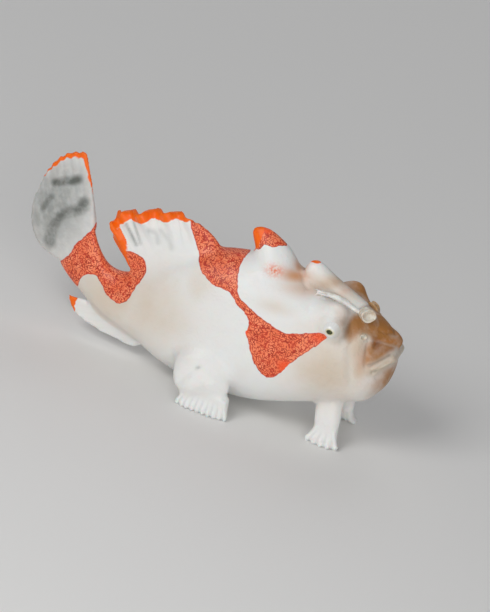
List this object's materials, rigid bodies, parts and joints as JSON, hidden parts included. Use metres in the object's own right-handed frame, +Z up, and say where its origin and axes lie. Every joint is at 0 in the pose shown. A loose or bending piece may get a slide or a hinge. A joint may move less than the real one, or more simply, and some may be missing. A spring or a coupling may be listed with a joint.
{
  "type": "warty frogfish model",
  "caption": "Still model of a young warty frogfish standing on its hand-like fins, with raised tail fin, head spines and a folded lure.",
  "frame": {"origin": "on the floor, under the middle of the fish's bounding box", "axes": "+X out of the mouth, +Y to the fish's left, +Z up"},
  "size_m": [0.0576, 0.0192, 0.0261],
  "materials": {
    "white_skin": "moist, softly translucent skin",
    "clear_skin": "thin, brownish translucent skin",
    "fin_skin": "moist fin membrane with raised rays",
    "red_skin": "skin with a fine red network",
    "eye": "clear, wet eye"
  },
  "bodies": {
    "root": {"head": "white_skin", "lower_jaw": "clear_skin", "torso": "white_skin", "tail_stalk": "red_skin", "caudal_fin": "fin_skin", "dorsal_fin": "fin_skin", "anal_fin": "fin_skin", "dorsal_spine_2": "white_skin", "dorsal_spine_3": "white_skin", "illicium": "clear_skin", "eye_right": "eye", "eye_left": "eye", "pectoral_arm_right": "white_skin", "pectoral_arm_left": "white_skin", "pectoral_fin_right": "fin_skin", "pectoral_fin_left": "fin_skin", "pelvic_fin_right": "fin_skin", "pelvic_fin_left": "fin_skin"}
  },
  "joints": []
}
